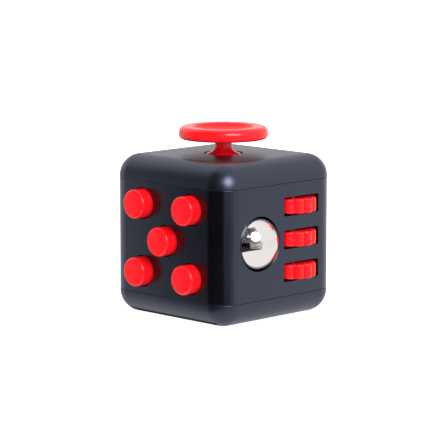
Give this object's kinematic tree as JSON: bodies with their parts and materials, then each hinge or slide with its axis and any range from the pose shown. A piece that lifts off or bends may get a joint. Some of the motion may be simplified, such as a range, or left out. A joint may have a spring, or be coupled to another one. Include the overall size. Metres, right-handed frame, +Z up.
{
  "type": "fidget cube",
  "caption": "Hand-held fidget cube with push buttons, a rolling ball, thumb wheels, a tilting thumb disc, a rocker, a dial and a thumb dish on its sides.",
  "frame": {"origin": "centre of the base, on the surface that the cube stands on", "axes": "+Z up through the thumb disc's stem, -Y out of the button side, +X out of the ball and wheel side, +Y out of the dial side, -X out of the rocker side"},
  "size_m": [0.0385, 0.0378, 0.0386],
  "materials": {
    "case_plastic": "satin moulded ABS, dark slate",
    "accent_plastic": "semi-gloss moulded ABS, bright red",
    "inner_plastic": "plain moulded plastic",
    "ball_steel": "mirror-polished steel",
    "pin_steel": "drawn and ground steel",
    "spring_steel": "spring steel wire and sheet",
    "screw_steel": "dark zinc-plated steel",
    "silicone": "translucent grey silicone"
  },
  "bodies": {
    "case": {"backplate_screw_lower": "screw_steel", "backplate_screw_upper": "screw_steel", "ball_housing": "inner_plastic", "ball_spring": "spring_steel", "body_shell": "case_plastic", "bottom_cap": "case_plastic", "button_backplate": "inner_plastic", "click_dome_bottom_right": "spring_steel", "click_dome_centre": "spring_steel", "click_dome_top_left": "spring_steel", "click_spring_screw": "screw_steel", "dial_click_spring": "spring_steel", "gear_axle": "pin_steel", "gear_bracket": "inner_plastic", "gear_bracket_screw_lower": "screw_steel", "gear_bracket_screw_upper": "screw_steel", "housing_screw_lower": "screw_steel", "housing_screw_upper": "screw_steel", "joystick_bracket": "inner_plastic", "joystick_screw_1": "screw_steel", "joystick_screw_2": "screw_steel", "joystick_spring": "spring_steel", "rocker_bracket": "inner_plastic", "rocker_leaf_spring": "spring_steel", "rocker_pin": "pin_steel", "rocker_screw_lower": "screw_steel", "rocker_screw_upper": "screw_steel", "soft_dome_bottom_left": "silicone", "soft_dome_top_right": "silicone", "top_cap": "case_plastic"},
    "roller_ball": {"roller_ball": "ball_steel"},
    "ball_cup": {"ball_cup": "inner_plastic"},
    "gear_upper": {"gear_upper": "accent_plastic"},
    "gear_middle": {"gear_middle": "accent_plastic"},
    "gear_lower": {"gear_lower": "accent_plastic"},
    "rocker": {"rocker": "accent_plastic"},
    "dial": {"dial": "accent_plastic", "dial_ratchet": "inner_plastic", "dial_washer": "pin_steel", "dial_screw": "screw_steel"},
    "joystick_gimbal": {"joystick_gimbal": "inner_plastic"},
    "joystick": {"joystick_disc": "accent_plastic", "joystick_stem": "accent_plastic"},
    "button_top_left": {"button_top_left": "accent_plastic"},
    "button_top_right": {"button_top_right": "accent_plastic"},
    "button_centre": {"button_centre": "accent_plastic"},
    "button_bottom_left": {"button_bottom_left": "accent_plastic"},
    "button_bottom_right": {"button_bottom_right": "accent_plastic"}
  },
  "joints": [
    {"name": "button_top_left_press", "type": "slide", "parent": "case", "child": "button_top_left", "axis": [0, 1, 0], "range_m": [0, 0.0007], "stiffness_N_per_m": 2000, "deforming": ["click_dome_top_left"]},
    {"name": "button_top_right_press", "type": "slide", "parent": "case", "child": "button_top_right", "axis": [0, 1, 0], "range_m": [0, 0.0007], "stiffness_N_per_m": 1200, "deforming": ["soft_dome_top_right"]},
    {"name": "button_centre_press", "type": "slide", "parent": "case", "child": "button_centre", "axis": [0, 1, 0], "range_m": [0, 0.0007], "stiffness_N_per_m": 2000, "deforming": ["click_dome_centre"]},
    {"name": "button_bottom_left_press", "type": "slide", "parent": "case", "child": "button_bottom_left", "axis": [0, 1, 0], "range_m": [0, 0.0007], "stiffness_N_per_m": 1200, "deforming": ["soft_dome_bottom_left"]},
    {"name": "button_bottom_right_press", "type": "slide", "parent": "case", "child": "button_bottom_right", "axis": [0, 1, 0], "range_m": [0, 0.0007], "stiffness_N_per_m": 2000, "deforming": ["click_dome_bottom_right"]},
    {"name": "ball_press", "type": "slide", "parent": "case", "child": "ball_cup", "axis": [-1, 0, 0], "range_m": [0, 0.0008], "stiffness_N_per_m": 1500, "deforming": ["ball_spring"]},
    {"name": "ball_spin", "type": "hinge", "parent": "ball_cup", "child": "roller_ball", "pos_m": [0.01355, -0.00605, 0.0165], "axis": [0, 0, 1], "continuous": true},
    {"name": "gear_upper_spin", "type": "hinge", "parent": "case", "child": "gear_upper", "pos_m": [0.01374, 0.00605, 0.02325], "axis": [0, 0, 1], "continuous": true},
    {"name": "gear_middle_spin", "type": "hinge", "parent": "case", "child": "gear_middle", "pos_m": [0.01374, 0.00605, 0.0165], "axis": [0, 0, 1], "continuous": true},
    {"name": "gear_lower_spin", "type": "hinge", "parent": "case", "child": "gear_lower", "pos_m": [0.01374, 0.00605, 0.00975], "axis": [0, 0, 1], "continuous": true},
    {"name": "rocker_flip", "type": "hinge", "parent": "case", "child": "rocker", "pos_m": [-0.0139, 0, 0.0165], "axis": [0, -1, 0], "range_deg": [0, 24], "deforming": ["rocker_leaf_spring"]},
    {"name": "dial_spin", "type": "hinge", "parent": "case", "child": "dial", "pos_m": [0, 0.0165, 0.0165], "axis": [0, 1, 0], "continuous": true, "deforming": ["dial_click_spring"]},
    {"name": "joystick_tilt_x", "type": "hinge", "parent": "case", "child": "joystick_gimbal", "pos_m": [0, 0, 0.028], "axis": [1, 0, 0], "range_deg": [-11, 11], "stiffness_Nm_per_rad": 0.05, "deforming": ["joystick_spring"]},
    {"name": "joystick_tilt_y", "type": "hinge", "parent": "joystick_gimbal", "child": "joystick", "pos_m": [0, 0, 0.028], "axis": [0, 1, 0], "range_deg": [-11, 11], "stiffness_Nm_per_rad": 0.05, "deforming": ["joystick_spring"]}
  ]
}
